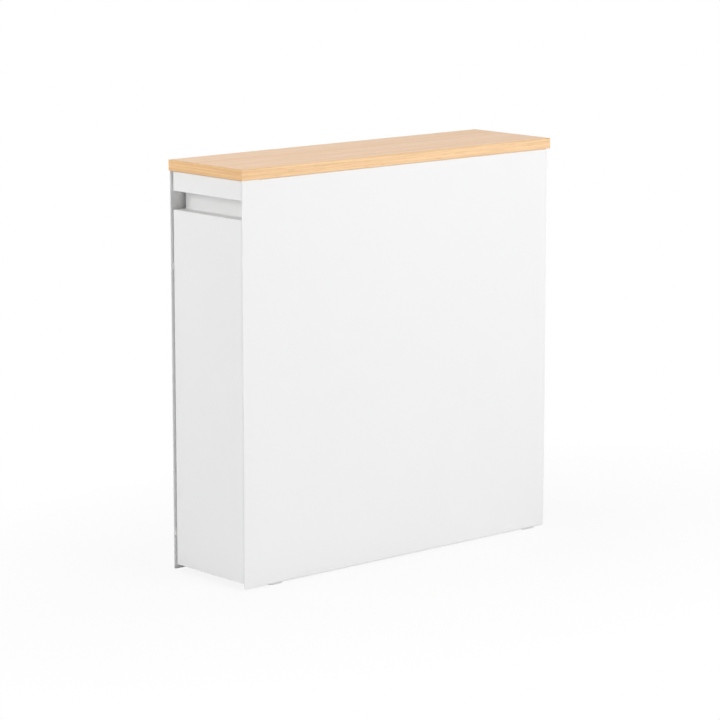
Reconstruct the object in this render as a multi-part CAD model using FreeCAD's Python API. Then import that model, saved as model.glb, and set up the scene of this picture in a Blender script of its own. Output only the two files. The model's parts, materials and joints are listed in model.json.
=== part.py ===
import FreeCAD, Part
import math
import os

# A slim free-standing storage rack: a folded steel case under a wooden board, and a shelf frame on casters
# that rolls out of the narrow end. Millimetres; X is the width, -Y the front, +Z up. The origin lies on the
# floor under the middle of the board.

Vector = FreeCAD.Vector
RIGHT = Vector(1, 0, 0)
REAR = Vector(0, 1, 0)
UP = Vector(0, 0, 1)

# Overall size
BOARD_WIDTH = 126.0
BOARD_DEPTH = 460.0
BOARD_THICKNESS = 12.0
OVERALL_HEIGHT = 460.0
SIDE_OVERHANG = 1.0
FRONT_OVERHANG = 1.0
REAR_OVERHANG = 2.5
FOOT_HEIGHT = 2.0

# Board
EDGE_BAND = 0.8
BOARD_ROUNDING = 0.5

# Folded sheet steel
SHEET = 1.0
BEND_INSIDE = 1.0
BEND_OUTSIDE = BEND_INSIDE + SHEET
HEM_DEPTH = 8.0
CORNER_RELIEF = 0.5
FLANGE_SLIT = 0.2

# Case
FLANGE_WIDTH = 14.0
BOTTOM_FLANGE_SETBACK = 33.0
TOP_FLANGE_SETBACK = 24.0
PANEL_CORNER = 2.0
BACK_PANEL_GAP = 1.2
BACK_PANEL_RISE = 7.0
BACK_PANEL_FOLD = 12.0
TOP_PLATE_GAP = 1.0
TOP_PLATE_DROP = 17.0
STOP_BAR_HEIGHT = 18.5

# Pull-out
PULL_TRAVEL = 420.0
MOVING_GAP = 0.3
FRONT_SETBACK = 1.5
FRONT_SIDE_GAP = 2.0
FRONT_RISE = 5.5
BOARD_GAP = 0.8
RAIL_HEIGHT = 21.2
SLOT_HEIGHT = 20.5
RECESS_DEPTH = 15.5
RETURN_WIDTH = 15.0
LEDGE_FIT = 0.2
LEDGE_LEG = 8.0
FRAME_SIDE_GAP = 4.0
FRAME_RISE = 12.0
FRAME_HEADROOM = 2.0
FRAME_FLANGE = 11.0
FLANGE_OVERLAP = 1.0
STOP_WIDTH = 40.0
STOP_HEIGHT = 12.0
STOP_CORNER = 4.0
BUMPER_LENGTH = 8.7

# Shelves
LOWEST_FLOOR = 33.0
SHELF_PITCH = 130.0
LIP_HEIGHT = 15.0
LIP_CORNER = 8.0
SHELF_FIT = 0.2
SHELF_END_FOLD = 19.0
SHELF_END_INSET = 6.0

# Casters
WHEEL_RADIUS = 12.5
WHEEL_WIDTH = 9.0
HUB_WIDTH = 9.8
HUB_RADIUS = 5.0
RIM_INSIDE = 9.2
WEB_WIDTH = 4.4
WHEEL_BEVEL = 1.0
WHEEL_RIBS = 6
WHEEL_RIB_WIDTH = 1.4
WHEEL_RIB_REACH = 3.2
WHEEL_RIB_ROOT = 0.5
AXLE_RADIUS = 2.0
AXLE_HEAD_RADIUS = 3.6
AXLE_CROWN_RADIUS = 2.6
AXLE_HEAD_HEIGHT = 1.2
RUNNING_GAP = 0.05
FORK_SHEET = 1.2
FORK_SIDE_GAP = 0.4
FORK_LENGTH = 42.0
FORK_LEG_TOP = 20.0
FORK_LEG_END = 13.0
FORK_LEG_ROUNDING = 6.0
FORK_SHOULDER = 2.0
FORK_CORNER = 1.5
FORK_CLEARANCE = 6.0
FORK_RIB = 3.0
CASTER_X = 40.0
FRONT_CASTER_Y = -178.0
REAR_CASTER_Y = 182.0
RIVET_SPACING = 32.0

# Fasteners and buttons
SCREW_RADIUS = 1.7
SCREW_HOLE = 1.9
SCREW_HEAD_RADIUS = 3.5
SCREW_CROWN_RADIUS = 2.4
SCREW_HEAD_HEIGHT = 2.2
SCREW_LENGTH = 6.5
NUT_WIDTH = 6.0
NUT_HEIGHT = 2.8
NUT_BORE = 1.75
WOOD_SCREW_RADIUS = 1.75
WOOD_SCREW_LENGTH = 10.0
PILOT_RADIUS = 1.8
RIVET_RADIUS = 1.6
RIVET_HEAD_RADIUS = 3.2
RIVET_CROWN_RADIUS = 2.0
RIVET_TAIL_RADIUS = 2.6
RIVET_HEAD_HEIGHT = 1.1
BUTTON_STEM_GAP = 0.1
BARB_STEP = 0.7
BARB_LENGTH = 2.0

# Feet, guide pads, glides and bumpers
FOOT_LENGTH = 20.0
FOOT_WIDTH = 10.0
FOOT_INSET = 2.5
FRONT_FOOT_Y = -181.0
REAR_FOOT_Y = 206.0
FOOT_STEM_RADIUS = 2.5
FOOT_EDGE = 0.5
PAD_HEIGHT = 9.0
PAD_DEPTH = 12.0
PAD_THICKNESS = 1.7
PAD_SETBACK = 1.2
PAD_CORNER = 1.5
UPPER_PAD_Z = 343.0
LOWER_PAD_Z = 44.5
GLIDE_RADIUS = 6.0
GLIDE_GAP = 0.4
GLIDE_BEVEL = 1.2
GLIDE_STEM_RADIUS = 2.0
GLIDE_Y = 209.0
UPPER_GLIDE_Z = 390.0
LOWER_GLIDE_Z = 70.0
BUMPER_RADIUS = 7.0
BUMPER_STEM_RADIUS = 2.5
BUMPER_BEVEL = 2.0
UPPER_BUMPER_Z = 350.0
LOWER_BUMPER_Z = 100.0

# Places of screws
BOARD_SCREW_X = 54.0
BOARD_SCREW_Y = (-190.0, 0.0, 190.0)
BACK_SCREW_X = 54.0
BACK_SCREW_Z = (60.0, 220.0, 380.0)
BACK_TOP_SCREW_X = 25.0
BACK_TOP_SCREW_Z = 438.0
FRONT_SCREW_X = 51.0
FRONT_SCREW_Z = (66.0, 350.0)
RAIL_SCREW_Z = 435.0
SHELF_SCREW_X = 30.0
SHELF_SCREW_DROP = 9.0

# Faces of the case, from the sizes above
CASE_HALF = BOARD_WIDTH / 2 - SIDE_OVERHANG
CASE_INSIDE = CASE_HALF - SHEET
CASE_FRONT = -BOARD_DEPTH / 2 + FRONT_OVERHANG
CASE_REAR = BOARD_DEPTH / 2 - REAR_OVERHANG
CASE_BOTTOM = FOOT_HEIGHT
CASE_TOP = OVERALL_HEIGHT - BOARD_THICKNESS
FLANGE_INSIDE = CASE_HALF - FLANGE_WIDTH
BACK_FACE = CASE_REAR - SHEET
BACK_INSIDE = BACK_FACE - SHEET
BACK_HALF = CASE_INSIDE - BACK_PANEL_GAP
BACK_BOTTOM = CASE_BOTTOM + BACK_PANEL_RISE
TOP_PLATE_TOP = CASE_TOP - SHEET
TOP_PLATE_BOTTOM = TOP_PLATE_TOP - SHEET
STOP_BAR_BOTTOM = TOP_PLATE_TOP - STOP_BAR_HEIGHT

# Faces of the pull-out
FRONT_FACE = CASE_FRONT + FRONT_SETBACK
FRONT_HALF = CASE_INSIDE - FRONT_SIDE_GAP
FRONT_BOTTOM = CASE_BOTTOM + FRONT_RISE
RAIL_TOP = CASE_TOP - BOARD_GAP
RAIL_BOTTOM = RAIL_TOP - RAIL_HEIGHT
FRONT_TOP = RAIL_BOTTOM - SLOT_HEIGHT
PLATE_FACE = FRONT_FACE + RECESS_DEPTH
PLATE_INSIDE = PLATE_FACE + SHEET
REAR_OUTSIDE = BACK_INSIDE - MOVING_GAP - BUMPER_LENGTH
REAR_INSIDE = REAR_OUTSIDE - SHEET
FRAME_HALF = CASE_INSIDE - FRAME_SIDE_GAP
FRAME_TOP = RAIL_BOTTOM - FRAME_HEADROOM
STOP_BAR_REAR = REAR_INSIDE - PULL_TRAVEL - MOVING_GAP
FOLD_HALF = FRONT_HALF - BEND_OUTSIDE - CORNER_RELIEF
SHELF_HALF = FRAME_HALF - SHEET - SHELF_FIT
SHELF_FLOORS = {
    "bottom_tray": LOWEST_FLOOR,
    "middle_shelf": LOWEST_FLOOR + SHELF_PITCH,
    "upper_shelf": LOWEST_FLOOR + 2 * SHELF_PITCH,
}
SIDES = {"left": -1, "right": 1}
SAME_POINT = 1e-7


# Drawing helpers

def on_plane(plane, u, v, w):
    """Point of a drawing plane: u and v lie in the plane, w runs along its normal."""
    if plane == "xy":
        return Vector(u, v, w)
    if plane == "xz":
        return Vector(u, w, v)
    return Vector(w, u, v)


def unit(vector):
    return Vector(vector).normalize()


def rounded_line(points, radii):
    """Segments of a 2-D line; each inner corner is rounded by its radius, or left sharp at 0."""
    segments = []
    here = points[0]
    for index, radius in enumerate(radii, start=1):
        corner = points[index]
        if radius == 0:
            segments.append([here, corner])
            here = corner
            continue
        back = unit(points[index - 1] - corner)
        ahead = unit(points[index + 1] - corner)
        half_angle = back.getAngle(ahead) / 2
        reach = radius / math.tan(half_angle)
        centre = corner + unit(back + ahead) * (radius / math.sin(half_angle))
        middle = centre + unit(corner - centre) * radius
        end = corner + ahead * reach
        segments.append([here, corner + back * reach])
        segments.append([corner + back * reach, middle, end])
        here = end
    segments.append([here, points[-1]])
    return segments


def rounded_polygon(corners, radii):
    """Closed outline through 2-D corners, each rounded by its radius."""
    corners = [Vector(u, v, 0) for u, v in corners]
    start = (corners[-1] + corners[0]) * 0.5
    return rounded_line([start] + corners + [start], radii)


def folded_outline(corners, sheet):
    """Outline of a folded sheet: the corners follow its outside, and its thickness lies left of them."""
    path = [Vector(u, v, 0) for u, v in corners]
    headings = [unit(end - start) for start, end in zip(path, path[1:])]
    normals = [Vector(-heading.y, heading.x, 0) for heading in headings]
    inside = [path[0] + normals[0] * sheet]
    for corner, before, after in zip(path[1:], normals, normals[1:]):
        inside.append(corner + (before + after) * (sheet / (1 + before.dot(after))))
    inside.append(path[-1] + normals[-1] * sheet)
    bends = len(path) - 2
    outer = rounded_line(path, [BEND_INSIDE + sheet] * bends)
    inner = rounded_line(inside, [BEND_INSIDE] * bends)
    back_again = [segment[::-1] for segment in inner[::-1]]
    return outer + [[path[-1], inside[-1]]] + back_again + [[inside[0], path[0]]]


def outline_face(outline, plane, level):
    edges = []
    for segment in outline:
        points = [on_plane(plane, point.x, point.y, level) for point in segment]
        if points[0].isEqual(points[-1], SAME_POINT):
            continue
        if len(points) == 3:
            edges.append(Part.Arc(*points).toShape())
        else:
            edges.append(Part.makeLine(*points))
    return Part.Face(Part.Wire(edges))


def prism(outline, plane, start, end):
    return outline_face(outline, plane, start).extrude(on_plane(plane, 0, 0, end - start))


def folded(corners, plane, start, end, sheet=SHEET):
    return prism(folded_outline(corners, sheet), plane, start, end)


def hem(plane, edge, inner, root, tip, start, end):
    """Closed hem: double sheet from its root to a rounded tip, between the outer and the inner face."""
    corners = [(edge, root), (inner, root), (inner, tip), (edge, tip)]
    outline = rounded_polygon(corners, [0, 0, SHEET, SHEET])
    return prism(outline, plane, start, end)


def turned(profile, seat, direction):
    """Turned piece: the profile gives radius and height, and the direction leads up from its seat."""
    corners = [Vector(radius, 0, height) for radius, height in profile]
    outline = Part.makePolygon(corners + corners[:1])
    solid = Part.Face(outline).revolve(Vector(), UP, 360)
    solid.Placement = FreeCAD.Placement(seat, FreeCAD.Rotation(UP, direction))
    return solid


def box(x_range, y_range, z_range):
    low = Vector(x_range[0], y_range[0], z_range[0])
    sizes = [high - start for start, high in (x_range, y_range, z_range)]
    return Part.makeBox(*sizes, low)


def drilled(shape, places, direction, radius, depth):
    """The shape with a round hole at each place, running the depth both ways along the direction."""
    tools = [Part.makeCylinder(radius, 2 * depth, place - direction * depth, direction) for place in places]
    return shape.cut(tools)


def joined(first, *others):
    return first.fuse(list(others)).removeSplitter()


def mirrored(shape):
    return shape.mirror(Vector(), RIGHT)


# Fasteners and push-in buttons

def pan_screw(seat, outward, radius=SCREW_RADIUS, length=SCREW_LENGTH):
    profile = [
        (0, -length), (radius, -length), (radius, 0), (SCREW_HEAD_RADIUS, 0),
        (SCREW_CROWN_RADIUS, SCREW_HEAD_HEIGHT), (0, SCREW_HEAD_HEIGHT),
    ]
    return turned(profile, seat, outward)


def hex_nut(seat, outward):
    corner_radius = NUT_WIDTH / math.sqrt(3)
    angles = [math.radians(60 * corner) for corner in range(6)]
    corners = [(corner_radius * math.cos(angle), corner_radius * math.sin(angle)) for angle in angles]
    body = prism(rounded_polygon(corners, [0] * 6), "xy", 0, NUT_HEIGHT)
    nut = body.cut(Part.makeCylinder(NUT_BORE, NUT_HEIGHT))
    nut.Placement = FreeCAD.Placement(seat, FreeCAD.Rotation(UP, outward))
    return nut


def rivet(seat, outward, grip):
    """Rivet through sheets of the given total thickness, with its formed tail on the far side."""
    far = -grip - RIVET_HEAD_HEIGHT
    profile = [
        (0, far), (RIVET_TAIL_RADIUS, far), (RIVET_TAIL_RADIUS, -grip), (RIVET_RADIUS, -grip),
        (RIVET_RADIUS, 0), (RIVET_HEAD_RADIUS, 0), (RIVET_CROWN_RADIUS, RIVET_HEAD_HEIGHT),
        (0, RIVET_HEAD_HEIGHT),
    ]
    return turned(profile, seat, outward)


def barbed_stem(radius):
    """Profile of a moulded stem through one sheet, with a tapered barb behind it."""
    end = -SHEET - BARB_LENGTH
    barb = [(0, end), (radius - BARB_STEP, end), (radius + BARB_STEP, -SHEET)]
    return barb + [(radius, -SHEET), (radius, 0)]


def push_button(seat, outward, radius, height, stem_radius, bevel):
    """Moulded button: a round bevelled head on the sheet and a barbed stem through it."""
    head = [(radius, 0), (radius, height - bevel), (radius - bevel, height), (0, height)]
    return turned(barbed_stem(stem_radius) + head, seat, outward)


# Places that several pieces share

def board_screw_places():
    return [Vector(side * BOARD_SCREW_X, y, TOP_PLATE_BOTTOM) for side in (-1, 1) for y in BOARD_SCREW_Y]


def back_screw_places(side):
    return [Vector(side * BACK_SCREW_X, CASE_REAR, z) for z in BACK_SCREW_Z]


def back_top_screw_places():
    return [Vector(side * BACK_TOP_SCREW_X, BACK_FACE, BACK_TOP_SCREW_Z) for side in (-1, 1)]


def front_screw_places():
    """Screws that hold the front panel, and the rail above it, to the front plate."""
    heights = FRONT_SCREW_Z + (RAIL_SCREW_Z,)
    return [Vector(side * FRONT_SCREW_X, PLATE_INSIDE, z) for side in (-1, 1) for z in heights]


def shelf_screw_places(y, floors):
    heights = [floor - SHELF_SCREW_DROP for floor in floors]
    return [Vector(side * SHELF_SCREW_X, y, z) for side in (-1, 1) for z in heights]


def foot_places():
    x = CASE_HALF - FOOT_INSET - FOOT_WIDTH / 2
    rows = {"front": FRONT_FOOT_Y, "rear": REAR_FOOT_Y}
    return {
        f"{row}_{name}": Vector(side * x, y, 0)
        for row, y in rows.items() for name, side in SIDES.items()
    }


def caster_places():
    rows = {"front": FRONT_CASTER_Y, "rear": REAR_CASTER_Y}
    return {
        f"{row}_{name}": Vector(side * CASTER_X, y, WHEEL_RADIUS)
        for row, y in rows.items() for name, side in SIDES.items()
    }


def rivet_places():
    places = []
    for hub in caster_places().values():
        for step in (-0.5, 0.5):
            places.append(Vector(hub.x, hub.y + step * RIVET_SPACING, LOWEST_FLOOR))
    return places


def glide_heights():
    return {"upper": UPPER_GLIDE_Z, "lower": LOWER_GLIDE_Z}


def bumper_heights():
    return {"upper": UPPER_BUMPER_Z, "lower": LOWER_BUMPER_Z}


# Board

def board_pieces():
    """Core board and the four strips that cover its edges, cut from one board with eased edges."""
    half_width = BOARD_WIDTH / 2
    half_depth = BOARD_DEPTH / 2
    height = (CASE_TOP, OVERALL_HEIGHT)
    blank = box((-half_width, half_width), (-half_depth, half_depth), height)
    blank = blank.makeFillet(BOARD_ROUNDING, blank.Edges)
    core_x = half_width - EDGE_BAND
    core_y = half_depth - EDGE_BAND
    pilots = [place + UP * (CASE_TOP - TOP_PLATE_BOTTOM) for place in board_screw_places()]
    core = blank.common(box((-core_x, core_x), (-core_y, core_y), height))
    core = drilled(core, pilots, UP, PILOT_RADIUS, WOOD_SCREW_LENGTH - SHEET)
    return {
        "top_board": core,
        "left_edge_band": blank.common(box((-half_width, -core_x), (-half_depth, half_depth), height)),
        "right_edge_band": blank.common(box((core_x, half_width), (-half_depth, half_depth), height)),
        "front_edge_band": blank.common(box((-core_x, core_x), (-half_depth, -core_y), height)),
        "rear_edge_band": blank.common(box((-core_x, core_x), (core_y, half_depth), height)),
    }


# Case

def right_side_panel():
    """Flat sheet with flanges folded in along the top, the bottom and the rear, relieved at the corners."""
    low_fold = CASE_BOTTOM + BEND_OUTSIDE
    high_fold = CASE_TOP - BEND_OUTSIDE
    rear_fold = CASE_REAR - BEND_OUTSIDE
    low_start = CASE_FRONT + BOTTOM_FLANGE_SETBACK
    high_start = CASE_FRONT + TOP_FLANGE_SETBACK
    flange_end = rear_fold - CORNER_RELIEF
    web_corners = [
        (CASE_FRONT, CASE_BOTTOM), (low_start - FLANGE_SLIT, CASE_BOTTOM),
        (low_start - FLANGE_SLIT, low_fold), (rear_fold, low_fold),
        (rear_fold, high_fold), (high_start - FLANGE_SLIT, high_fold),
        (high_start - FLANGE_SLIT, CASE_TOP), (CASE_FRONT, CASE_TOP),
    ]
    web = prism(rounded_polygon(web_corners, [PANEL_CORNER] + [0] * 7), "yz", CASE_INSIDE, CASE_HALF)
    bottom = folded(
        [(FLANGE_INSIDE, CASE_BOTTOM), (CASE_HALF, CASE_BOTTOM), (CASE_HALF, low_fold)],
        "xz", low_start, flange_end)
    top = folded(
        [(CASE_HALF, high_fold), (CASE_HALF, CASE_TOP), (FLANGE_INSIDE, CASE_TOP)],
        "xz", high_start, flange_end)
    rear = folded(
        [(CASE_HALF, rear_fold), (CASE_HALF, CASE_REAR), (FLANGE_INSIDE, CASE_REAR)],
        "xy", low_fold + CORNER_RELIEF, high_fold - CORNER_RELIEF)
    panel = joined(web, bottom, top, rear)
    board_holes = [place for place in board_screw_places() if place.x > 0]
    foot_holes = [place + UP * CASE_BOTTOM for name, place in foot_places().items() if place.x > 0]
    panel = drilled(panel, board_holes, UP, SCREW_HOLE, 2 * SHEET)
    panel = drilled(panel, back_screw_places(1), REAR, SCREW_HOLE, SHEET)
    return drilled(panel, foot_holes, UP, FOOT_STEM_RADIUS + BUTTON_STEM_GAP, SHEET)


def back_panel():
    """Sheet inside the rear flanges, stiffened by a fold along its lower edge."""
    corners = [
        (BACK_FACE - BACK_PANEL_FOLD, BACK_BOTTOM), (BACK_FACE, BACK_BOTTOM),
        (BACK_FACE, TOP_PLATE_TOP - CORNER_RELIEF),
    ]
    panel = folded(corners, "yz", -BACK_HALF, BACK_HALF)
    places = back_screw_places(-1) + back_screw_places(1) + back_top_screw_places()
    return drilled(panel, places, REAR, SCREW_HOLE, 2 * SHEET)


def top_plate():
    """One folded strip: rear flange, plate under the board, and a bar that stops the pull-out."""
    bar_front = STOP_BAR_REAR - SHEET
    corners = [
        (BACK_INSIDE, TOP_PLATE_TOP - TOP_PLATE_DROP), (BACK_INSIDE, TOP_PLATE_TOP),
        (bar_front, TOP_PLATE_TOP), (bar_front, STOP_BAR_BOTTOM),
    ]
    half = CASE_INSIDE - TOP_PLATE_GAP
    plate = folded(corners, "yz", -half, half)
    plate = drilled(plate, board_screw_places(), UP, SCREW_HOLE, 2 * SHEET)
    return drilled(plate, back_top_screw_places(), REAR, SCREW_HOLE, 3 * SHEET)


def foot(place):
    """Oblong pad under the bottom flange, held by a barbed stem through it."""
    half_length = FOOT_LENGTH / 2
    half_width = FOOT_WIDTH / 2
    corners = [
        (place.x - half_width, place.y - half_length), (place.x + half_width, place.y - half_length),
        (place.x + half_width, place.y + half_length), (place.x - half_width, place.y + half_length),
    ]
    pad = prism(rounded_polygon(corners, [half_width] * 4), "xy", 0, FOOT_HEIGHT)
    floor_edges = [edge for edge in pad.Edges if edge.BoundBox.ZMax < FOOT_EDGE]
    pad = pad.makeChamfer(FOOT_EDGE, floor_edges)
    stem = turned(barbed_stem(FOOT_STEM_RADIUS) + [(0, 0)], place + UP * CASE_BOTTOM, -UP)
    return joined(pad, stem)


def guide_pad(side, height):
    """Thin slippery pad on the inside of a side panel, beside the edge of the front panel."""
    front = CASE_FRONT + PAD_SETBACK
    corners = [
        (front, height - PAD_HEIGHT / 2), (front + PAD_DEPTH, height - PAD_HEIGHT / 2),
        (front + PAD_DEPTH, height + PAD_HEIGHT / 2), (front, height + PAD_HEIGHT / 2),
    ]
    pad = prism(rounded_polygon(corners, [PAD_CORNER] * 4), "yz", CASE_INSIDE - PAD_THICKNESS, CASE_INSIDE)
    return pad if side > 0 else mirrored(pad)


# Pull-out

def front_section(low, high):
    """Sheet folded to a shallow channel: a face, side flanges, and returns that lie on the front plate."""
    corners = [
        (-FRONT_HALF + RETURN_WIDTH, PLATE_FACE), (-FRONT_HALF, PLATE_FACE), (-FRONT_HALF, FRONT_FACE),
        (FRONT_HALF, FRONT_FACE), (FRONT_HALF, PLATE_FACE), (FRONT_HALF - RETURN_WIDTH, PLATE_FACE),
    ]
    return folded(corners, "xy", low, high)


def hemmed_below(section, low):
    """The section with the lower edge of its face turned back in a closed hem."""
    hem_x = (-FOLD_HALF, FOLD_HALF)
    trimmed = section.cut(box(hem_x, (FRONT_FACE, FRONT_FACE + SHEET), (low, low + SHEET)))
    return joined(trimmed, hem("yz", FRONT_FACE, FRONT_FACE + 2 * SHEET, low + HEM_DEPTH, low, *hem_x))


def front_panel():
    """Front below the finger slot, hemmed along its lower edge."""
    panel = hemmed_below(front_section(FRONT_BOTTOM, FRONT_TOP), FRONT_BOTTOM)
    return drilled(panel, front_screw_places(), REAR, SCREW_HOLE, 3 * SHEET)


def slot_ledge():
    """Angle welded behind the front panel's upper edge: the slot's floor, notched round the returns."""
    face_inside = FRONT_FACE + SHEET
    underside = FRONT_TOP - SHEET
    angle = folded(
        [(PLATE_FACE, FRONT_TOP), (face_inside, FRONT_TOP), (face_inside, FRONT_TOP - LEDGE_LEG)],
        "yz", -FOLD_HALF, FOLD_HALF)
    return_front = PLATE_FACE - SHEET
    wing_half = FRONT_HALF - SHEET - LEDGE_FIT
    wing_y = (face_inside + BEND_OUTSIDE, return_front - BEND_OUTSIDE)
    wings = box((-wing_half, wing_half), wing_y, (underside, FRONT_TOP))
    notch_start = FRONT_HALF - RETURN_WIDTH - LEDGE_FIT
    notches = []
    for x_range in ((-FRONT_HALF, -notch_start), (notch_start, FRONT_HALF)):
        notches.append(box(x_range, (return_front - LEDGE_FIT, PLATE_FACE), (underside, FRONT_TOP)))
    return joined(angle, wings).cut(notches)


def pull_rail():
    """Rail above the finger slot: fingers reach up behind its hemmed lower edge to pull."""
    rail = hemmed_below(front_section(RAIL_BOTTOM, RAIL_TOP), RAIL_BOTTOM)
    return drilled(rail, front_screw_places(), REAR, SCREW_HOLE, 3 * SHEET)


def front_plate():
    """Inner plate, the back of the finger slot: flanged sides, and a hemmed head that carries the rail."""
    flange_top = RAIL_BOTTOM + FLANGE_OVERLAP
    corners = [
        (-FRAME_HALF, PLATE_FACE + FRAME_FLANGE), (-FRAME_HALF, PLATE_FACE),
        (FRAME_HALF, PLATE_FACE), (FRAME_HALF, PLATE_FACE + FRAME_FLANGE),
    ]
    channel = folded(corners, "xy", FRAME_RISE, flange_top)
    head_half = FRAME_HALF - BEND_OUTSIDE - CORNER_RELIEF
    head_x = (-head_half, head_half)
    hem_root = RAIL_TOP - HEM_DEPTH
    head = box(head_x, (PLATE_FACE, PLATE_INSIDE), (flange_top, hem_root))
    top_edge = hem("yz", PLATE_FACE, PLATE_FACE + 2 * SHEET, hem_root, RAIL_TOP, *head_x)
    plate = joined(channel, head, top_edge)
    plate = drilled(plate, front_screw_places(), REAR, SCREW_HOLE, 2 * SHEET)
    shelf_holes = shelf_screw_places(PLATE_FACE, SHELF_FLOORS.values())
    return drilled(plate, shelf_holes, REAR, SCREW_HOLE, 2 * SHEET)


def rear_plate():
    """Rear end of the shelf frame: flanged sides, and a tab that meets the stop bar when pulled out."""
    corners = [
        (FRAME_HALF, REAR_OUTSIDE - FRAME_FLANGE), (FRAME_HALF, REAR_OUTSIDE),
        (-FRAME_HALF, REAR_OUTSIDE), (-FRAME_HALF, REAR_OUTSIDE - FRAME_FLANGE),
    ]
    channel = folded(corners, "xy", FRAME_RISE, FRAME_TOP)
    tab_corners = [
        (-STOP_WIDTH / 2, FRAME_TOP), (STOP_WIDTH / 2, FRAME_TOP),
        (STOP_WIDTH / 2, FRAME_TOP + STOP_HEIGHT), (-STOP_WIDTH / 2, FRAME_TOP + STOP_HEIGHT),
    ]
    tab_outline = rounded_polygon(tab_corners, [0, 0, STOP_CORNER, STOP_CORNER])
    tab = prism(tab_outline, "xz", REAR_INSIDE, REAR_OUTSIDE)
    plate = joined(channel, tab)
    bumper_holes = [Vector(0, REAR_OUTSIDE, z) for z in bumper_heights().values()]
    heights = glide_heights().values()
    glide_holes = [Vector(side * FRAME_HALF, GLIDE_Y, z) for side in (-1, 1) for z in heights]
    screw_holes = shelf_screw_places(REAR_OUTSIDE, SHELF_FLOORS.values())
    plate = drilled(plate, screw_holes, REAR, SCREW_HOLE, 2 * SHEET)
    plate = drilled(plate, bumper_holes, REAR, BUMPER_STEM_RADIUS + BUTTON_STEM_GAP, 2 * SHEET)
    return drilled(plate, glide_holes, RIGHT, GLIDE_STEM_RADIUS + BUTTON_STEM_GAP, 2 * SHEET)


def shelf(floor):
    """Tray with hemmed lips along its sides and ends folded down to be screwed to the two plates."""
    front = PLATE_INSIDE
    rear = REAR_INSIDE
    run = (front + BEND_OUTSIDE, rear - BEND_OUTSIDE)
    lip_top = floor + LIP_HEIGHT
    lip_end = lip_top - SHEET
    underside = floor - SHEET
    tray = folded(
        [(-SHELF_HALF, lip_end), (-SHELF_HALF, underside), (SHELF_HALF, underside), (SHELF_HALF, lip_end)],
        "xz", *run)
    hem_root = lip_top - HEM_DEPTH
    hem_inside = SHELF_HALF - 2 * SHEET
    hems = [hem("xz", side * SHELF_HALF, side * hem_inside, hem_root, lip_top, *run) for side in (-1, 1)]
    end_half = SHELF_HALF - SHELF_END_INSET
    fold_end = floor - SHELF_END_FOLD
    front_end = folded([(run[0], floor), (front, floor), (front, fold_end)], "yz", -end_half, end_half)
    rear_end = folded([(rear, fold_end), (rear, floor), (run[1], floor)], "yz", -end_half, end_half)
    tray = joined(tray, *hems, front_end, rear_end)
    side_view = [(front, fold_end), (rear, fold_end), (rear, lip_top), (front, lip_top)]
    trim = rounded_polygon(side_view, [0, 0, LIP_CORNER, LIP_CORNER])
    tray = tray.common(prism(trim, "yz", -SHELF_HALF, SHELF_HALF))
    for end in (front, rear):
        tray = drilled(tray, shelf_screw_places(end, [floor]), REAR, SCREW_HOLE, 2 * SHEET)
    return tray


def bottom_tray():
    return drilled(shelf(LOWEST_FLOOR), rivet_places(), UP, RIVET_RADIUS + RUNNING_GAP, 2 * SHEET)


def glide(side, height):
    """Round button on the rear flange, just clear of the side panel that it runs along."""
    reach = FRAME_SIDE_GAP - GLIDE_GAP
    seat = Vector(side * FRAME_HALF, GLIDE_Y, height)
    return push_button(seat, RIGHT * side, GLIDE_RADIUS, reach, GLIDE_STEM_RADIUS, GLIDE_BEVEL)


def rear_bumper(height):
    seat = Vector(0, REAR_OUTSIDE, height)
    return push_button(seat, REAR, BUMPER_RADIUS, BUMPER_LENGTH, BUMPER_STEM_RADIUS, BUMPER_BEVEL)


# Casters

def caster_fork(hub):
    """Folded fork: a long plate under the tray, and two tapered legs that carry the axle."""
    half_inside = HUB_WIDTH / 2 + FORK_SIDE_GAP
    half = half_inside + FORK_SHEET
    top = LOWEST_FLOOR - SHEET
    channel = folded(
        [
            (hub.x + half, FORK_CLEARANCE), (hub.x + half, top),
            (hub.x - half, top), (hub.x - half, FORK_CLEARANCE),
        ],
        "xz", hub.y - FORK_LENGTH / 2, hub.y + FORK_LENGTH / 2, FORK_SHEET)
    rib = top - FORK_RIB
    right_side = [(FORK_LEG_END / 2, FORK_CLEARANCE), (FORK_LEG_TOP / 2, rib), (FORK_LENGTH / 2, rib)]
    left_side = [(-y, z) for y, z in right_side[::-1]]
    plate_corners = [(FORK_LENGTH / 2, top), (-FORK_LENGTH / 2, top)]
    corners = [(y + hub.y, z) for y, z in right_side + plate_corners + left_side]
    half_radii = [FORK_LEG_ROUNDING, FORK_SHOULDER, FORK_CORNER, 0]
    radii = half_radii + half_radii[::-1]
    side_view = prism(rounded_polygon(corners, radii), "yz", hub.x - half, hub.x + half)
    fork = channel.common(side_view)
    own_rivets = [place for place in rivet_places() if (place - hub).Length < FORK_LENGTH]
    fork = drilled(fork, own_rivets, UP, RIVET_RADIUS + RUNNING_GAP, 3 * SHEET)
    return drilled(fork, [hub], RIGHT, AXLE_RADIUS + RUNNING_GAP, 2 * half)


def caster_axle(hub):
    """Pin through the fork, riveted over to a head at each end."""
    half = HUB_WIDTH / 2 + FORK_SIDE_GAP + FORK_SHEET
    end = half + AXLE_HEAD_HEIGHT
    profile = [
        (0, -end), (AXLE_CROWN_RADIUS, -end), (AXLE_HEAD_RADIUS, -half), (AXLE_RADIUS, -half),
        (AXLE_RADIUS, half), (AXLE_HEAD_RADIUS, half), (AXLE_CROWN_RADIUS, end), (0, end),
    ]
    return turned(profile, hub, RIGHT)


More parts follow.
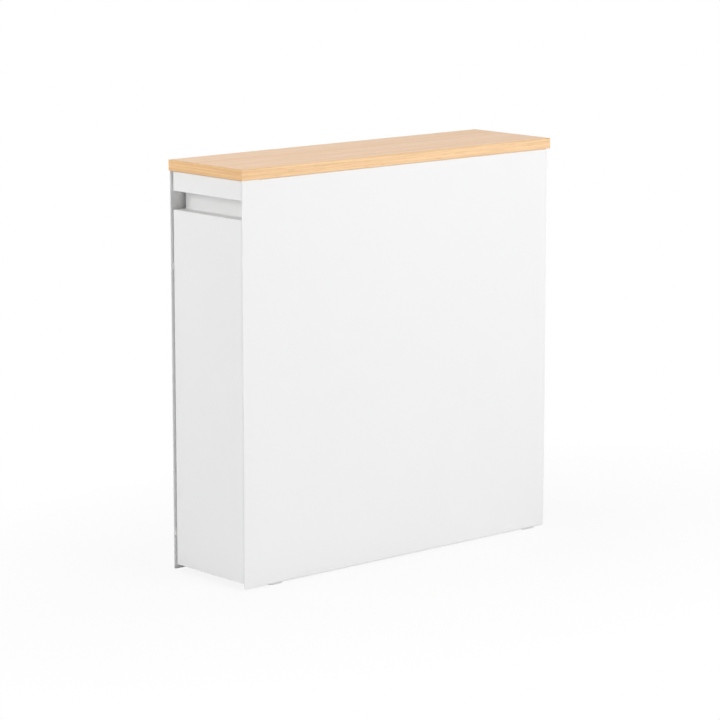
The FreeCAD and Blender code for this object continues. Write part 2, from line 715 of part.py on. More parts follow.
def wheel(hub):
    """Moulded wheel: a hub that runs on the axle, a thin web with ribs on both sides and a bevelled rim."""
    upper_half = [
        (AXLE_RADIUS + RUNNING_GAP, HUB_WIDTH / 2), (HUB_RADIUS, HUB_WIDTH / 2),
        (HUB_RADIUS, WEB_WIDTH / 2), (RIM_INSIDE, WEB_WIDTH / 2), (RIM_INSIDE, WHEEL_WIDTH / 2),
        (WHEEL_RADIUS - WHEEL_BEVEL, WHEEL_WIDTH / 2), (WHEEL_RADIUS, WHEEL_WIDTH / 2 - WHEEL_BEVEL),
    ]
    lower_half = [(radius, -height) for radius, height in upper_half[::-1]]
    body = turned(upper_half + lower_half, hub, RIGHT)
    root = HUB_RADIUS - WHEEL_RIB_ROOT
    tip = RIM_INSIDE + WHEEL_RIB_ROOT
    rib = box((-WHEEL_RIB_REACH, WHEEL_RIB_REACH), (-WHEEL_RIB_WIDTH / 2, WHEEL_RIB_WIDTH / 2), (root, tip))
    ribs = []
    for step in range(WHEEL_RIBS):
        turn = FreeCAD.Rotation(RIGHT, step * 360 / WHEEL_RIBS)
        ribs.append(rib.transformed(FreeCAD.Placement(hub, turn).toMatrix()))
    return joined(body, *ribs)


# Groups of like fasteners

def board_screws():
    screws = [pan_screw(place, -UP, WOOD_SCREW_RADIUS, WOOD_SCREW_LENGTH) for place in board_screw_places()]
    return Part.makeCompound(screws)


def back_panel_screws():
    places = back_screw_places(-1) + back_screw_places(1) + back_top_screw_places()
    return Part.makeCompound([pan_screw(place, REAR) for place in places])


def back_panel_nuts():
    side_nuts = [place - REAR * 2 * SHEET for place in back_screw_places(-1) + back_screw_places(1)]
    top_nuts = [place - REAR * 2 * SHEET for place in back_top_screw_places()]
    return Part.makeCompound([hex_nut(place, -REAR) for place in side_nuts + top_nuts])


def front_panel_screws():
    return Part.makeCompound([pan_screw(place, REAR) for place in front_screw_places()])


def front_panel_nuts():
    return Part.makeCompound([hex_nut(place - REAR * 2 * SHEET, -REAR) for place in front_screw_places()])


def shelf_screws():
    floors = SHELF_FLOORS.values()
    front = [pan_screw(place, -REAR) for place in shelf_screw_places(PLATE_FACE, floors)]
    rear = [pan_screw(place, REAR) for place in shelf_screw_places(REAR_OUTSIDE, floors)]
    return Part.makeCompound(front + rear)


def shelf_nuts():
    floors = SHELF_FLOORS.values()
    front = [hex_nut(place, REAR) for place in shelf_screw_places(PLATE_FACE + 2 * SHEET, floors)]
    rear = [hex_nut(place, -REAR) for place in shelf_screw_places(REAR_OUTSIDE - 2 * SHEET, floors)]
    return Part.makeCompound(front + rear)


def caster_rivets():
    return Part.makeCompound([rivet(place, UP, SHEET + FORK_SHEET) for place in rivet_places()])


# The whole rack

def case_nodes():
    nodes = board_pieces()
    nodes["right_side_panel"] = right_side_panel()
    nodes["left_side_panel"] = mirrored(nodes["right_side_panel"])
    nodes["back_panel"] = back_panel()
    nodes["top_plate"] = top_plate()
    for name, place in foot_places().items():
        nodes[f"{name}_foot"] = foot(place)
    for level, height in {"upper": UPPER_PAD_Z, "lower": LOWER_PAD_Z}.items():
        for name, side in SIDES.items():
            nodes[f"{level}_{name}_guide_pad"] = guide_pad(side, height)
    nodes["board_screws"] = board_screws()
    nodes["back_panel_screws"] = back_panel_screws()
    nodes["back_panel_nuts"] = back_panel_nuts()
    return nodes


def pull_out_nodes():
    nodes = {
        "front_panel": front_panel(),
        "slot_ledge": slot_ledge(),
        "pull_rail": pull_rail(),
        "front_plate": front_plate(),
        "rear_plate": rear_plate(),
        "bottom_tray": bottom_tray(),
        "middle_shelf": shelf(SHELF_FLOORS["middle_shelf"]),
        "upper_shelf": shelf(SHELF_FLOORS["upper_shelf"]),
        "front_panel_screws": front_panel_screws(),
        "front_panel_nuts": front_panel_nuts(),
        "shelf_screws": shelf_screws(),
        "shelf_nuts": shelf_nuts(),
        "caster_rivets": caster_rivets(),
    }
    for level, height in bumper_heights().items():
        nodes[f"{level}_rear_bumper"] = rear_bumper(height)
    for level, height in glide_heights().items():
        for name, side in SIDES.items():
            nodes[f"{level}_{name}_glide"] = glide(side, height)
    for name, hub in caster_places().items():
        nodes[f"{name}_caster_fork"] = caster_fork(hub)
        nodes[f"{name}_caster_axle"] = caster_axle(hub)
        nodes[f"{name}_wheel"] = wheel(hub)
    return nodes


def main():
    os.makedirs("parts", exist_ok=True)
    for name, shape in {**case_nodes(), **pull_out_nodes()}.items():
        state = "valid" if shape.isValid() else "INVALID"
        print(name, state, len(shape.Solids), "solids", round(shape.Volume), "mm3")
        shape.exportStep(f"parts/{name}.step")


main()
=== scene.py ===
import json
import math

import bmesh
import bpy
from mathutils import Matrix, Vector

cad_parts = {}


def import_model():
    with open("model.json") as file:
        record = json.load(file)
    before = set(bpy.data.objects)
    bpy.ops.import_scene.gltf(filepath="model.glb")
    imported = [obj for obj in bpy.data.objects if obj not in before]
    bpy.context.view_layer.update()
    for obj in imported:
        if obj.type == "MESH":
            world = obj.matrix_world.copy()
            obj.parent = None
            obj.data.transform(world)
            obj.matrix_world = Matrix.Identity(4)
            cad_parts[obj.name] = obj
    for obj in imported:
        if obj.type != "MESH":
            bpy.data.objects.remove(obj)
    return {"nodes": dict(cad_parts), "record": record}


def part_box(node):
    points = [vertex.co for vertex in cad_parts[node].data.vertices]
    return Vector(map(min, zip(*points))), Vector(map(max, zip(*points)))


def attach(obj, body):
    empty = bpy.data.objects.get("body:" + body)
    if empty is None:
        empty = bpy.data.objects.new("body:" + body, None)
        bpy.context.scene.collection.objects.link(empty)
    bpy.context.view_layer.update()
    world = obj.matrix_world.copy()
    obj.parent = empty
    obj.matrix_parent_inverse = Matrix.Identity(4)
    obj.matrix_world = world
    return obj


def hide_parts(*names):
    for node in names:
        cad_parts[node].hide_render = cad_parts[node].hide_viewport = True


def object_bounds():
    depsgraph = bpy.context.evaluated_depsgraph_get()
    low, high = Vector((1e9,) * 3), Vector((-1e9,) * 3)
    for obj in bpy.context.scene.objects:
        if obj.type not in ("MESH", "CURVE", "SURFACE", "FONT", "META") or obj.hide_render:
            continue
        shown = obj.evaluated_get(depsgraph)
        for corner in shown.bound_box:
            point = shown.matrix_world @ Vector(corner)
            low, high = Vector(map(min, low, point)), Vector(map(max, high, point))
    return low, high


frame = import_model()
cad_low, cad_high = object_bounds()
nodes = frame["nodes"]

# Camera, as the photograph was taken. Lengths are metres and angles are degrees.
CAMERA_YAW = 48.49
CAMERA_PITCH = 10.49
CAMERA_DISTANCE = 3.483
CAMERA_LENS = 153.6
SENSOR_WIDTH = 36.0
RACK_RIGHT_OF_CENTRE = 0.0057
RACK_ABOVE_CENTRE = 0.0109

# Light, and the floor that shows the shadow. Lengths are metres.
AMBIENT = 0.10
FLOOR_RADIUS = 9.0
FLOOR_SEGMENTS = 96
FLOOR_SHADOW_START = 0.30
FLOOR_SHADOW_REACH = 0.75
FLOOR_SHADOW_DEPTH = 0.12
FLOOR_SHADOW_STRETCH = (1.6, 1.0, 1.0)

# Colours, linear
WHITE = (1, 1, 1, 1)
COAT_LIGHT = (0.905, 0.905, 0.903, 1)
COAT_DEEP = (0.882, 0.884, 0.886, 1)
WOOD_PALE = (0.900, 0.640, 0.380, 1)
WOOD_MID = (0.850, 0.560, 0.300, 1)
WOOD_DARK = (0.640, 0.370, 0.165, 1)
# Painted light on the wood: the top board's tint pales and cools it as a grazing sheen would, and the side
# and end edge tints make lit and shaded copies of one wood
BOARD_PAINTED_SHEEN_TINT = (1.065, 1.12, 1.38, 1)
SIDE_EDGE_PAINTED_LIGHT_TINT = (1.085, 1.085, 1.095, 1)
END_EDGE_PAINTED_LIGHT_TINT = (1.105, 1.06, 0.97, 1)
ZINC_LIGHT = (0.74, 0.75, 0.75, 1)
ZINC_DEEP = (0.58, 0.60, 0.62, 1)
NYLON_LIGHT = (0.800, 0.800, 0.785, 1)
NYLON_DEEP = (0.74, 0.74, 0.72, 1)
WHEEL_LIGHT = (0.30, 0.30, 0.30, 1)
WHEEL_DEEP = (0.25, 0.25, 0.25, 1)
FOOT_LIGHT = (0.84, 0.84, 0.83, 1)
FOOT_DEEP = (0.79, 0.79, 0.78, 1)
RUBBER_LIGHT = (0.070, 0.070, 0.072, 1)
RUBBER_DEEP = (0.050, 0.050, 0.052, 1)
FLOOR_LIGHT = (0.82, 0.82, 0.82, 1)
FLOOR_DEEP = (0.80, 0.80, 0.80, 1)

# Roughness, from the lowest to the highest values of a noise
NOISE_SPAN = (0.3, 0.7)
COAT_ROUGHNESS = (0.46, 0.58)
WOOD_ROUGHNESS = (0.54, 0.66)
ZINC_ROUGHNESS = (0.26, 0.42)
FLOOR_ROUGHNESS = (0.85, 0.95)
PLASTIC_ROUGHNESS_SPREAD = 0.06

# Relief of the surfaces, in metres
COAT_RELIEF = 0.000012
WOOD_RELIEF = 0.000025
ZINC_RELIEF = 0.000006
PLASTIC_RELIEF = 0.00001
RUBBER_RELIEF = 0.00003
PORE_RELIEF_SHARE = -1.2

# Wood: noise cells to the metre across and along the grain, how far the marks darken it, and its seams,
# whose dark joint lines carry painted shade
BAND_CELLS = (48, 1.6)
VEIN_CELLS = (430, 5)
FIBRE_CELLS = (900, 12)
PORE_CELLS = (1500, 60)
BOARD_VEINS = 0.10
SIDE_EDGE_VEINS = 0.26
END_EDGE_VEINS = 0.55
FIBRE_DEPTH = 0.35
PORE_DEPTH = 0.5
SEAM_SHADE_WIDTH = 0.0012
SEAM_SHADE_DEPTH = 0.35

# Screws, in metres where not a share or a count
HEAD_HEIGHT = 0.0022
HEAD_EDGE = 0.0007
HEAD_BEVEL = 0.0002
HEAD_STEPS = 6
CROWN_RADIUS = 0.0026
MACHINE_SHANK = 0.0017
WOOD_SHANK = 0.00175
SMOOTH_SHARE = 0.35
THREAD_PITCH = 0.0007
THREAD_DEPTH = 0.0003
THREAD_STEPS = 8
RECESS_REACH = 0.0019
RECESS_HALF = 0.00052
RECESS_DEPTH = 0.0013
RECESS_TAPER = 0.66

# Nuts and rivets, in metres where not a share, a count or an angle
NUT_BORE = 0.00172
NUT_STEPS = 48
NUT_CROWN_SHARE = 0.97
NUT_CHAMFER = math.radians(30)
BORE_CHAMFER_SHARE = 0.12
RIVET_HEAD = 0.0011
RIVET_EDGE_SHARE = 0.25
RIVET_SHANK_SHARE = 0.5
RIVET_TAIL_SHARE = 0.8
RIVET_DOME_STEPS = 8
RIVET_TAIL_END = ((0.55, 0.0), (0.9, 0.2), (1.0, 1.0))

# All fasteners
TURN_STEPS = 32
SHARP_ANGLE = math.radians(32)
SAME_POINT = 1e-6
SPIN_BY_PLACE = (911, 577, 331)
UP = (0, 0, 1)
DOWN = (0, 0, -1)
FRONT = (0, -1, 0)
REAR = (0, 1, 0)


# Materials

class Finish:
    """A material with one Principled shader, and short calls for the nodes that feed it."""

    def __init__(self, name):
        self.material = bpy.data.materials.new(name)
        self.material.use_nodes = True
        self.tree = self.material.node_tree
        self.shader = self.tree.nodes["Principled BSDF"]
        self.place = self.add("ShaderNodeTexCoord").outputs["Object"]

    def add(self, kind, inputs=(), **settings):
        node = self.tree.nodes.new(kind)
        for key, value in settings.items():
            setattr(node, key, value)
        for key, value in dict(inputs).items():
            self.feed(node.inputs[key], value)
        return node

    def feed(self, socket, value):
        if isinstance(value, bpy.types.NodeSocket):
            self.tree.links.new(value, socket)
        else:
            socket.default_value = value

    def set(self, name, value):
        self.feed(self.shader.inputs[name], value)

    def stretch(self, scale):
        """The place in the object, scaled along each axis."""
        return self.add("ShaderNodeMapping", {"Vector": self.place, "Scale": scale}).outputs["Vector"]

    def noise(self, where, scale, detail=2.0, roughness=0.5, distortion=0.0):
        inputs = {
            "Vector": where, "Scale": scale, "Detail": detail,
            "Roughness": roughness, "Distortion": distortion,
        }
        return self.add("ShaderNodeTexNoise", inputs).outputs["Fac"]

    def grain(self, along, cells, **settings):
        """Noise drawn out along one axis, from its cells to the metre across and along that axis."""
        across, lengthwise = cells
        scale = [across, across, across]
        scale["XYZ".index(along)] = lengthwise
        return self.noise(self.stretch(scale), 1.0, **settings)

    def spread(self, value, span, result):
        """The value, taken from one range to another and held at its ends."""
        inputs = {
            "Value": value, "From Min": span[0], "From Max": span[1],
            "To Min": result[0], "To Max": result[1],
        }
        return self.add("ShaderNodeMapRange", inputs, clamp=True).outputs["Result"]

    def calculate(self, operation, *values):
        return self.add("ShaderNodeMath", enumerate(values), operation=operation).outputs[0]

    def mix(self, factor, first, second, mode="MIX"):
        inputs = {0: factor, 6: first, 7: second}
        return self.add("ShaderNodeMix", inputs, data_type="RGBA", blend_type=mode).outputs[2]

    def bump(self, height, distance):
        node = self.add("ShaderNodeBump", {"Height": height, "Distance": distance, "Strength": 1.0})
        self.set("Normal", node.outputs["Normal"])


def powder_coat():
    """White powder coat: faint clouds, and the fine texture of baked powder."""
    finish = Finish("white_powder_coat")
    clouds = finish.noise(finish.place, 7.0, detail=3.0)
    grains = finish.noise(finish.place, 850.0, detail=3.0, roughness=0.6)
    ripple = finish.noise(finish.place, 260.0)
    finish.set("Base Color", finish.mix(clouds, COAT_DEEP, COAT_LIGHT))
    finish.set("Roughness", finish.spread(grains, NOISE_SPAN, COAT_ROUGHNESS))
    finish.set("IOR", 1.48)
    finish.bump(finish.calculate("ADD", grains, ripple), COAT_RELIEF)
    return finish.material


def wood(name, along, painted_light_tint, vein_depth, shaded_seams=""):
    """Pale straight-grained wood along one axis, with dark seam lines and painted shade at the edges across
    the axes that are named.
    """
    finish = Finish(name)
    bands = finish.grain(along, BAND_CELLS, detail=3.0, distortion=0.6)
    veins = finish.grain(along, VEIN_CELLS, detail=2.0, roughness=0.55)
    fibres = finish.grain(along, FIBRE_CELLS, detail=3.0, roughness=0.65)
    pores = finish.grain(along, PORE_CELLS, detail=1.0)
    pore_share = finish.spread(pores, (0.60, 0.70), (0.0, PORE_DEPTH))
    colour = finish.mix(finish.spread(bands, (0.35, 0.65), (0.0, 1.0)), WOOD_PALE, WOOD_MID)
    colour = finish.mix(finish.spread(veins, (0.42, 0.60), (0.0, vein_depth)), colour, WOOD_DARK)
    colour = finish.mix(finish.spread(fibres, (0.42, 0.75), (0.0, FIBRE_DEPTH)), colour, WOOD_DARK)
    colour = finish.mix(pore_share, colour, WOOD_DARK)
    for axis in shaded_seams:
        # painted shade with the seam's dark line: the strip darkens towards its seams
        colour = finish.mix(seam_shade(finish, axis), colour, WOOD_DARK)
    # painted light: the face's tint, a painted sheen on the top board and painted lighting on the edge
    # strips
    finish.set("Base Color", finish.mix(1.0, colour, painted_light_tint, "MULTIPLY"))
    finish.set("Roughness", finish.spread(fibres, NOISE_SPAN, WOOD_ROUGHNESS))
    finish.set("IOR", 1.5)
    sunk_pores = finish.calculate("MULTIPLY", pore_share, PORE_RELIEF_SHARE)
    finish.bump(finish.calculate("ADD", fibres, sunk_pores), WOOD_RELIEF)
    return finish.material


def seam_shade(finish, axis):
    """How much an edge strip of the board darkens towards its two edges across an axis: the seam's own dark
    line, deepened by painted shade of the joint.
    """
    low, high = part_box("front_edge_band")
    number = "XYZ".index(axis)
    middle = (low[number] + high[number]) / 2
    reach = (high[number] - low[number]) / 2
    place = finish.add("ShaderNodeSeparateXYZ", {0: finish.place}).outputs[axis]
    away = finish.calculate("ABSOLUTE", finish.calculate("SUBTRACT", place, middle))
    return finish.spread(away, (reach - SEAM_SHADE_WIDTH, reach - SEAM_SHADE_WIDTH / 4), (0.0, SEAM_SHADE_DEPTH))


def zinc_steel():
    """Zinc plate: a bright metal with cloudy patches and fine rubbed marks."""
    finish = Finish("zinc_steel")
    patches = finish.noise(finish.place, 180.0, detail=4.0, roughness=0.6)
    marks = finish.grain("Z", (2600, 260), detail=2.0)
    finish.set("Base Color", finish.mix(patches, ZINC_DEEP, ZINC_LIGHT))
    finish.set("Metallic", 1.0)
    finish.set("Roughness", finish.spread(patches, NOISE_SPAN, ZINC_ROUGHNESS))
    finish.bump(finish.calculate("ADD", marks, patches), ZINC_RELIEF)
    return finish.material


def moulded(name, light, deep, roughness, relief=PLASTIC_RELIEF):
    """Moulded plastic or rubber: faint flow marks and the fine texture of the mould."""
    finish = Finish(name)
    flow = finish.noise(finish.place, 60.0, detail=3.0, distortion=1.0)
    grains = finish.noise(finish.place, 1400.0, detail=2.0)
    roughness_range = (roughness - PLASTIC_ROUGHNESS_SPREAD, roughness + PLASTIC_ROUGHNESS_SPREAD)
    finish.set("Base Color", finish.mix(flow, deep, light))
    finish.set("Roughness", finish.spread(grains, NOISE_SPAN, roughness_range))
    finish.set("IOR", 1.5)
    finish.bump(grains, relief)
    return finish.material


def dress_cad_nodes():
    """Each CAD node gets the material of its slot in the record. Returns the materials by slot."""
    materials = {
        "white_powder_coat": powder_coat(),
        # the top board carries a painted sheen in its tint
        "wood_grain_board": wood("wood_grain_board", "Y", BOARD_PAINTED_SHEEN_TINT, BOARD_VEINS),
        "zinc_steel": zinc_steel(),
        "white_nylon": moulded("white_nylon", NYLON_LIGHT, NYLON_DEEP, 0.42),
        "wheel_nylon": moulded("wheel_nylon", WHEEL_LIGHT, WHEEL_DEEP, 0.46),
        "foot_plastic": moulded("foot_plastic", FOOT_LIGHT, FOOT_DEEP, 0.50),
        "bumper_rubber": moulded("bumper_rubber", RUBBER_LIGHT, RUBBER_DEEP, 0.72, RUBBER_RELIEF),
    }
    # the edge strips are the same wood, tinted with painted light for each face
    side_edge = wood("wood_grain_side_edge", "Y", SIDE_EDGE_PAINTED_LIGHT_TINT, SIDE_EDGE_VEINS, shaded_seams="Z")
    end_edge = wood("wood_grain_end_edge", "X", END_EDGE_PAINTED_LIGHT_TINT, END_EDGE_VEINS, shaded_seams="XZ")
    for row in frame["record"]["subparts"]:
        name = row["node"]
        if row["material_slot"] == "wood_grain_edge":
            material = end_edge if name.startswith(("front", "rear")) else side_edge
        else:
            material = materials[row["material_slot"]]
        mesh = nodes[name].data
        mesh.materials.clear()
        mesh.materials.append(material)
    return materials


# Shapes of the fasteners

def ring(mesh, radius, height, steps=TURN_STEPS):
    points = []
    for step in range(steps):
        angle = 2 * math.pi * step / steps
        points.append(mesh.verts.new((radius * math.cos(angle), radius * math.sin(angle), height)))
    return points


def bridge(mesh, lower, upper):
    for step in range(len(lower)):
        following = (step + 1) % len(lower)
        mesh.faces.new((lower[step], lower[following], upper[following], upper[step]))


def join_rings(mesh, rings):
    for lower, upper in zip(rings, rings[1:]):
        bridge(mesh, lower, upper)


def lathe(mesh, profile):
    """Rings through the profile's radii and heights, joined in order. Returns the rings."""
    rings = [ring(mesh, radius, height) for radius, height in profile]
    join_rings(mesh, rings)
    return rings


def thread(mesh, radius, low, high):
    """Threaded stretch of a shank, from its lower end up to its upper end. Returns its rings."""
    count = max(2, round((high - low) / THREAD_PITCH * THREAD_STEPS))
    rings = []
    for row in range(count + 1):
        height = low + (high - low) * row / count
        fade = min(row, count - row, THREAD_STEPS) / THREAD_STEPS
        points = []
        for step in range(TURN_STEPS):
            angle = 2 * math.pi * step / TURN_STEPS
            phase = (height / THREAD_PITCH - step / TURN_STEPS) % 1.0
            reach = radius - THREAD_DEPTH * fade * abs(2 * phase - 1)
            points.append(mesh.verts.new((reach * math.cos(angle), reach * math.sin(angle), height)))
        rings.append(points)
    join_rings(mesh, rings)
    return rings


def recess(mesh, rim, height):
    """Cross recess in a flat crown: the crown round it, its tapered walls and its floor."""
    quarter = [(RECESS_REACH, -RECESS_HALF), (RECESS_REACH, RECESS_HALF), (RECESS_HALF, RECESS_HALF)]
    outline = []
    for turn in range(4):
        cos = round(math.cos(turn * math.pi / 2))
        sin = round(math.sin(turn * math.pi / 2))
        outline += [(x * cos - y * sin, x * sin + y * cos) for x, y in quarter]
    depth = height - RECESS_DEPTH
    mouth = [mesh.verts.new((x, y, height)) for x, y in outline]
    floor = [mesh.verts.new((x * RECESS_TAPER, y * RECESS_TAPER, depth)) for x, y in outline]
    edges = []
    for loop in (rim, mouth):
        for first, second in zip(loop, loop[1:] + loop[:1]):
            edges.append(mesh.edges.get((first, second)) or mesh.edges.new((first, second)))
    bmesh.ops.triangle_fill(mesh, use_beauty=True, edges=edges, normal=UP)
    bridge(mesh, mouth, floor)
    mesh.faces.new(floor)


def screw(head_radius, shank_radius, length):
    """Pan-head screw standing on z = 0, with its shank below."""
    mesh = bmesh.new()
    shank = thread(mesh, shank_radius, -length, -length * SMOOTH_SHARE)
    mesh.faces.new(shank[0])
    profile = [(shank_radius, 0), (head_radius - HEAD_BEVEL, 0), (head_radius, HEAD_BEVEL)]
    for step in range(HEAD_STEPS + 1):
        angle = math.pi / 2 * step / HEAD_STEPS
        radius = CROWN_RADIUS + (head_radius - CROWN_RADIUS) * math.cos(angle)
        profile.append((radius, HEAD_EDGE + (HEAD_HEIGHT - HEAD_EDGE) * math.sin(angle)))
    head = lathe(mesh, profile)
    bridge(mesh, shank[-1], head[0])
    recess(mesh, head[-1], HEAD_HEIGHT)
    return mesh


def hex_nut(across_flats, height, bore):
    """Hexagon nut standing on z = 0, chamfered above, with a chamfered bore."""
    mesh = bmesh.new()
    flat = across_flats / 2
    crown = flat * NUT_CROWN_SHARE
    chamfer = bore * BORE_CHAMFER_SHARE
    bottom = []
    top = []
    for step in range(NUT_STEPS):
        angle = 2 * math.pi * step / NUT_STEPS
        from_flat = (angle + math.pi / 6) % (math.pi / 3) - math.pi / 6
        reach = flat / math.cos(from_flat)
        place = (reach * math.cos(angle), reach * math.sin(angle))
        bottom.append(mesh.verts.new((*place, 0)))
        top.append(mesh.verts.new((*place, height - (reach - crown) * math.tan(NUT_CHAMFER))))
    inner_profile = [(crown, height), (bore + chamfer, height), (bore, height - chamfer), (bore, 0)]
    inner = [ring(mesh, radius, level, NUT_STEPS) for radius, level in inner_profile]
    join_rings(mesh, [bottom, top] + inner + [bottom])
    return mesh


def rivet(head_radius, head_height, length, tail_radius):
    """Domed rivet standing on z = 0, with its formed tail below."""
    mesh = bmesh.new()
    shank_radius = head_radius * RIVET_SHANK_SHARE
    edge = head_height * RIVET_EDGE_SHARE
    profile = []
    for radius_share, height_share in RIVET_TAIL_END:
        profile.append((tail_radius * radius_share, -length + head_height * height_share))
    profile += [(shank_radius, -length + head_height), (shank_radius, 0)]
    profile += [(head_radius, 0), (head_radius, edge)]
    for step in range(1, RIVET_DOME_STEPS):
        angle = math.pi / 2 * step / RIVET_DOME_STEPS
        profile.append((head_radius * math.cos(angle), edge + (head_height - edge) * math.sin(angle)))
    rings = lathe(mesh, profile)
    mesh.faces.new(rings[0])
    mesh.faces.new(rings[-1])
    return mesh


# Places of the fasteners

def solids_of(name):
    """Lowest and highest corner of each separate solid of a CAD node."""
    mesh = bmesh.new()
    mesh.from_mesh(nodes[name].data)
    bmesh.ops.remove_doubles(mesh, verts=mesh.verts, dist=SAME_POINT)
    left = set(mesh.verts)
    boxes = []
    while left:
        reached = [left.pop()]
        for vertex in reached:
            for edge in vertex.link_edges:
                other = edge.other_vert(vertex)
                if other in left:
                    left.discard(other)
                    reached.append(other)
        corners = [vertex.co for vertex in reached]
        low = Vector([min(corner[axis] for corner in corners) for axis in range(3)])
        high = Vector([max(corner[axis] for corner in corners) for axis in range(3)])
        boxes.append((low, high))
    mesh.free()
    return sorted(boxes, key=lambda pair: tuple(round(value, 5) for value in pair[0]))


def turned_to(direction):
    return Vector(direction).to_track_quat("Z", "Y").to_matrix().to_4x4()


def facing(low, high, outward):
    """Place at the box's outer end, and a turn to point outward. Each fastener has its own spin."""
    middle = (low + high) / 2
    reach = (high - low) / 2
    outer = middle + Vector([outward[axis] * reach[axis] for axis in range(3)])
    spin = sum(value * factor for value, factor in zip(middle, SPIN_BY_PLACE)) % math.pi
    return outer, turned_to(outward) @ Matrix.Rotation(spin, 4, "Z")


def measures(low, high, outward):
    """Radius of the box square to the outward direction, and its length along it."""
    sizes = high - low
    along = [abs(value) for value in outward].index(1)
    radius = max(sizes[axis] for axis in range(3) if axis != along) / 2
    return radius, sizes[along]


def way_at(low, ways):
    """The first way for a fastener in the rack's front half, and the second for one in its rear half."""
    return ways[0] if low.y < 0 else ways[1]


def finished_piece(name, template, places, material, body):
    """One object with a copy of the template at each place, which rides on a body for the CAD node."""
    bmesh.ops.recalc_face_normals(template, faces=template.faces)
    for face in template.faces:
        face.smooth = True
    for edge in template.edges:
        edge.smooth = edge.is_manifold and edge.calc_face_angle() < SHARP_ANGLE
    one = bpy.data.meshes.new(name + "_one")
    template.to_mesh(one)
    template.free()
    group = bmesh.new()
    for place in places:
        copy = one.copy()
        copy.transform(place)
        group.from_mesh(copy)
        bpy.data.meshes.remove(copy)
    mesh = bpy.data.meshes.new(name + "_detail")
    group.to_mesh(mesh)
    group.free()
    bpy.data.meshes.remove(one)
    mesh.materials.append(material)
    piece = bpy.data.objects.new(name + "_detail", mesh)
    bpy.context.scene.collection.objects.link(piece)
    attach(piece, body)
    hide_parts(name)


def screws(name, body, material, ways, shank_radius):
    boxes = solids_of(name)
    places = []
    for low, high in boxes:
        outer, turn = facing(low, high, way_at(low, ways))
        places.append(Matrix.Translation(outer) @ turn @ Matrix.Translation((0, 0, -HEAD_HEIGHT)))
    radius, length = measures(*boxes[0], ways[0])
    template = screw(radius, shank_radius, length - HEAD_HEIGHT)
    finished_piece(name, template, places, material, body)


def nuts(name, body, material, ways):
    boxes = solids_of(name)
    sizes = boxes[0][1] - boxes[0][0]
    height = sizes.y
    flats = min(sizes.x, sizes.z)
    quarter = Matrix.Rotation(math.pi / 2 if sizes.x > sizes.z else 0, 4, "Z")
    places = []
    for low, high in boxes:
        outward = Vector(way_at(low, ways))
        seat = (low + high) / 2 - outward * (height / 2)
        places.append(Matrix.Translation(seat) @ turned_to(outward) @ quarter)
    finished_piece(name, hex_nut(flats, height, NUT_BORE), places, material, body)


def rivets(name, body, material):
    boxes = solids_of(name)
    places = []
    for low, high in boxes:
        outer, turn = facing(low, high, UP)
        places.append(Matrix.Translation(outer - Vector((0, 0, RIVET_HEAD))) @ turn)
    radius, length = measures(*boxes[0], UP)
    template = rivet(radius, RIVET_HEAD, length - RIVET_HEAD, radius * RIVET_TAIL_SHARE)
    finished_piece(name, template, places, material, body)


def add_fasteners(steel):
    screws("board_screws", "case", steel, (DOWN, DOWN), WOOD_SHANK)
    screws("back_panel_screws", "case", steel, (REAR, REAR), MACHINE_SHANK)
    nuts("back_panel_nuts", "case", steel, (FRONT, FRONT))
    screws("front_panel_screws", "pull_out", steel, (REAR, REAR), MACHINE_SHANK)
    nuts("front_panel_nuts", "pull_out", steel, (FRONT, FRONT))
    screws("shelf_screws", "pull_out", steel, (FRONT, REAR), MACHINE_SHANK)
    nuts("shelf_nuts", "pull_out", steel, (REAR, FRONT))
    rivets("caster_rivets", "pull_out", steel)


# Stage

def seen_directly(tree):
    """1 for rays that show the background: from the camera, in reflections and through clear things."""
    path = tree.nodes.new("ShaderNodeLightPath")
    value = path.outputs["Is Camera Ray"]
    for name in ("Is Glossy Ray", "Is Transmission Ray"):
        larger = tree.nodes.new("ShaderNodeMath")
        larger.operation = "MAXIMUM"
        tree.links.new(value, larger.inputs[0])
        tree.links.new(path.outputs[name], larger.inputs[1])
        value = larger.outputs[0]
    return value


def floor_finish():
    """Pale floor that is white to the eye, and keeps a soft shadow close to the rack."""
    finish = Finish("studio_floor")
    tree = finish.tree
    dust = finish.noise(finish.place, 14.0, detail=4.0)
    finish.set("Base Color", finish.mix(dust, FLOOR_DEEP, FLOOR_LIGHT))
    finish.set("Roughness", finish.spread(dust, NOISE_SPAN, FLOOR_ROUGHNESS))
    finish.set("Specular IOR Level", 0.0)
    stretched = finish.stretch(FLOOR_SHADOW_STRETCH)
    away = finish.add("ShaderNodeVectorMath", {0: stretched}, operation="LENGTH").outputs["Value"]
    fade = (FLOOR_SHADOW_START, FLOOR_SHADOW_REACH)
    white_share = finish.spread(away, fade, (1 - FLOOR_SHADOW_DEPTH, 1.0))
    glow = finish.add("ShaderNodeEmission", {"Color": WHITE, "Strength": 1.0})
    shown_share = finish.calculate("MULTIPLY", white_share, seen_directly(tree))
    shown = finish.add("ShaderNodeMixShader", {0: shown_share})
    tree.links.new(finish.shader.outputs[0], shown.inputs[1])
    tree.links.new(glow.outputs[0], shown.inputs[2])
    tree.links.new(shown.outputs[0], tree.nodes["Material Output"].inputs["Surface"])
    return finish.material


def floor():
    mesh = bmesh.new()
    bmesh.ops.create_circle(mesh, cap_ends=True, radius=FLOOR_RADIUS, segments=FLOOR_SEGMENTS)
    data = bpy.data.meshes.new("floor")
    mesh.to_mesh(data)
    mesh.free()
    data.materials.append(floor_finish())
    plane = bpy.data.objects.new("floor", data)
    bpy.context.scene.collection.objects.link(plane)


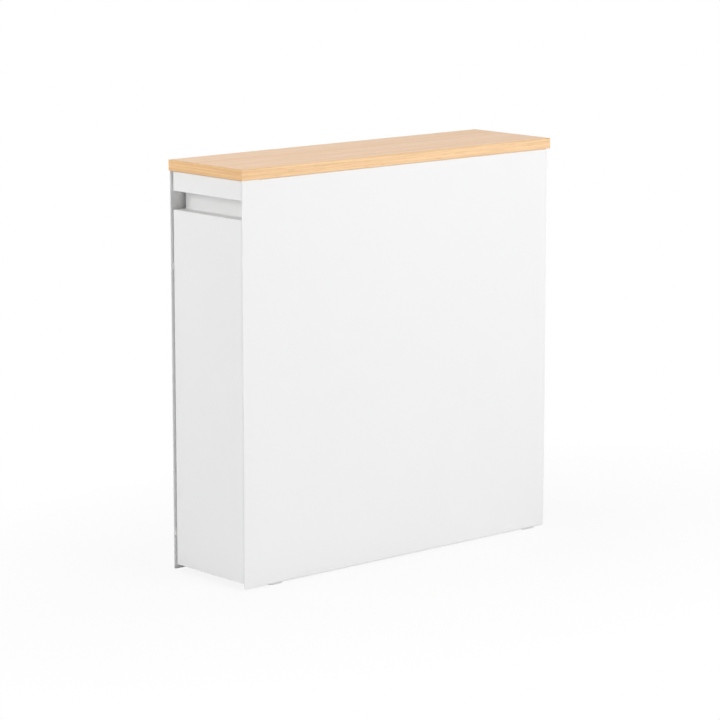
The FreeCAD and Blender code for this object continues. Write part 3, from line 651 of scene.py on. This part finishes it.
def world():
    """White to the eye and in reflections, and a plain soft light on the rack."""
    surround = bpy.data.worlds.new("studio")
    surround.use_nodes = True
    tree = surround.node_tree
    background = tree.nodes["Background"]
    level = tree.nodes.new("ShaderNodeMapRange")
    tree.links.new(seen_directly(tree), level.inputs["Value"])
    level.inputs["To Min"].default_value = AMBIENT
    level.inputs["To Max"].default_value = 1.0
    background.inputs["Color"].default_value = WHITE
    tree.links.new(level.outputs["Result"], background.inputs["Strength"])
    bpy.context.scene.world = surround


def direction_from(azimuth, elevation):
    """Direction from the rack to a place around it. Azimuth 0 is at the front, and 90 at the right side."""
    turn = math.radians(azimuth)
    rise = math.radians(elevation)
    return Vector((math.sin(turn) * math.cos(rise), -math.cos(turn) * math.cos(rise), math.sin(rise)))


def softbox(name, azimuth, elevation, distance, size, power):
    """Square lamp that looks at the middle of the rack."""
    lamp = bpy.data.lights.new(name, "AREA")
    lamp.shape = "SQUARE"
    lamp.size = size
    lamp.energy = power
    back = direction_from(azimuth, elevation)
    middle = (cad_low + cad_high) / 2
    holder = bpy.data.objects.new(name, lamp)
    holder.location = middle + back * distance
    holder.rotation_euler = back.to_track_quat("Z", "Y").to_euler()
    bpy.context.scene.collection.objects.link(holder)


def lamps():
    softbox("front_softbox", azimuth=-28, elevation=17, distance=2.0, size=1.2, power=12.95)
    softbox("high_softbox", azimuth=-20, elevation=42, distance=2.0, size=1.2, power=3.6)
    softbox("right_softbox", azimuth=25, elevation=15, distance=2.0, size=1.2, power=5.8)
    softbox("side_softbox", azimuth=103, elevation=25, distance=2.1, size=1.3, power=26.2)
    softbox("back_fill", azimuth=176, elevation=12, distance=2.2, size=1.4, power=12.5)
    softbox("left_fill", azimuth=-95, elevation=12, distance=2.2, size=1.4, power=13)
    softbox("top_softbox", azimuth=0, elevation=88, distance=1.8, size=1.2, power=8.6)


def camera():
    data = bpy.data.cameras.new("camera")
    data.sensor_width = SENSOR_WIDTH
    data.lens = CAMERA_LENS
    yaw = math.radians(CAMERA_YAW)
    right = Vector((math.cos(yaw), math.sin(yaw), 0))
    back = direction_from(CAMERA_YAW, CAMERA_PITCH)
    up = back.cross(right)
    middle = (cad_low + cad_high) / 2
    aim = middle - right * RACK_RIGHT_OF_CENTRE - up * RACK_ABOVE_CENTRE
    viewer = bpy.data.objects.new("camera", data)
    viewer.location = aim + back * CAMERA_DISTANCE
    viewer.rotation_euler = (math.pi / 2 - math.radians(CAMERA_PITCH), 0, yaw)
    bpy.context.scene.collection.objects.link(viewer)
    bpy.context.scene.camera = viewer


bpy.context.scene.view_settings.view_transform = "Standard"
materials = dress_cad_nodes()
add_fasteners(materials["zinc_steel"])
floor()
world()
lamps()
camera()
